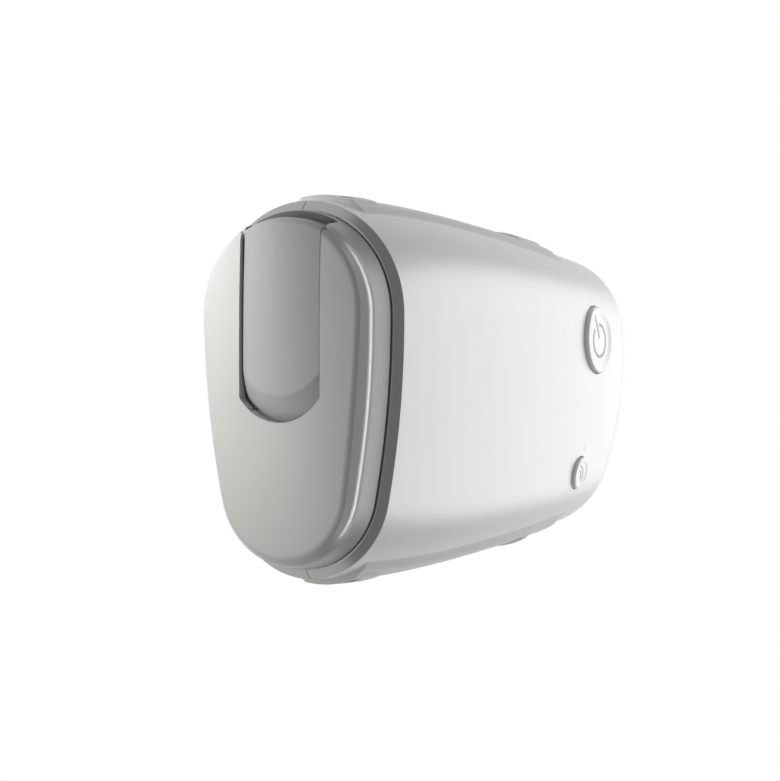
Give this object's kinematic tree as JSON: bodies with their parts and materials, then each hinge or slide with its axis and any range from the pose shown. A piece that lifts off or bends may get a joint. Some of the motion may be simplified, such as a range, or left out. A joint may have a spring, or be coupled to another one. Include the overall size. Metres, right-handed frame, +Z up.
{
  "type": "cpap machine",
  "caption": "Compact CPAP machine: tapering two-shell case, filter cap with a sliding cover at the wide end, two push buttons on top, an inner blower and a breathing-tube outlet.",
  "frame": {"origin": "on the table, under the middle of the machine", "axes": "+X from the filter cap towards the air outlet, +Y towards the fatter side of the oval section, +Z up"},
  "size_m": [0.136, 0.0847, 0.0519],
  "materials": {
    "case_plastic": "satin moulded ABS, white",
    "rail_plastic": "satin moulded plastic, pale grey",
    "ring_plastic": "semi-gloss silver-grey plastic",
    "cap_plastic": "satin moulded plastic, warm grey",
    "cover_plastic": "satin moulded plastic, mid grey",
    "button_plastic": "satin moulded plastic, white",
    "light_guide": "clear acrylic light guide, unlit",
    "foot_rubber": "soft matt rubber",
    "silicone": "translucent grey silicone rubber",
    "steel": "plain machined steel",
    "electrical_steel": "stacked laminations",
    "copper": "enamelled copper winding",
    "magnet": "coated magnet",
    "blower_plastic": "glass-filled black plastic",
    "impeller_plastic": "natural white plastic",
    "circuit_board": "green solder mask",
    "chip_black": "moulded epoxy",
    "shield_metal": "tinned steel can",
    "filter_fabric": "white pressed filter felt",
    "foam": "open-cell grey foam",
    "wire_insulation": "red PVC insulation",
    "power_wire_insulation": "black PVC insulation",
    "brass_contact": "bright contact metal"
  },
  "bodies": {
    "case": {"base_shell": "case_plastic", "top_shell": "case_plastic", "side_rail_back": "rail_plastic", "side_rail_front": "rail_plastic", "ring_upper": "ring_plastic", "ring_lower": "ring_plastic", "end_cap": "cap_plastic", "filter_pad": "filter_fabric", "inlet_muffler": "foam", "start_light_pipe": "light_guide", "connect_light_pipe": "light_guide", "outlet_port": "blower_plastic", "outlet_seal": "silicone", "power_jack": "chip_black", "power_pin": "brass_contact", "feet": "foot_rubber", "case_screws": "steel", "isolator_ring": "silicone", "motor_housing": "steel", "motor_stator": "electrical_steel", "motor_coils": "copper", "lower_bearing": "steel", "upper_bearing": "steel", "volute_lower": "blower_plastic", "volute_upper": "blower_plastic", "outlet_duct": "silicone", "control_board": "circuit_board", "board_screws": "steel", "start_switch": "chip_black", "connect_switch": "chip_black", "processor_chip": "chip_black", "radio_module": "shield_metal", "power_module": "chip_black", "pressure_sensor": "chip_black", "sensor_tube": "silicone", "status_lights": "light_guide", "cable_plugs": "case_plastic", "motor_leads": "wire_insulation", "power_leads": "power_wire_insulation"},
    "filter_cover": {"filter_cover": "cover_plastic"},
    "start_button": {"start_button": "button_plastic"},
    "connect_button": {"connect_button": "button_plastic"},
    "rotor": {"motor_shaft": "steel", "rotor_magnet": "magnet", "impeller": "impeller_plastic"}
  },
  "joints": [
    {"name": "filter_cover_slide", "type": "slide", "parent": "case", "child": "filter_cover", "axis": [0, 1, 0], "range_m": [0, 0.038]},
    {"name": "start_button_press", "type": "slide", "parent": "case", "child": "start_button", "axis": [-0.1363, -0.0142, -0.9906], "range_m": [0, 0.0007], "stiffness_N_per_m": 300},
    {"name": "connect_button_press", "type": "slide", "parent": "case", "child": "connect_button", "axis": [-0.1245, 0.1971, -0.9724], "range_m": [0, 0.0007], "stiffness_N_per_m": 300},
    {"name": "rotor_spin", "type": "hinge", "parent": "case", "child": "rotor", "pos_m": [-0.012, -0.003, 0.02], "axis": [0, 0, 1], "continuous": true}
  ]
}
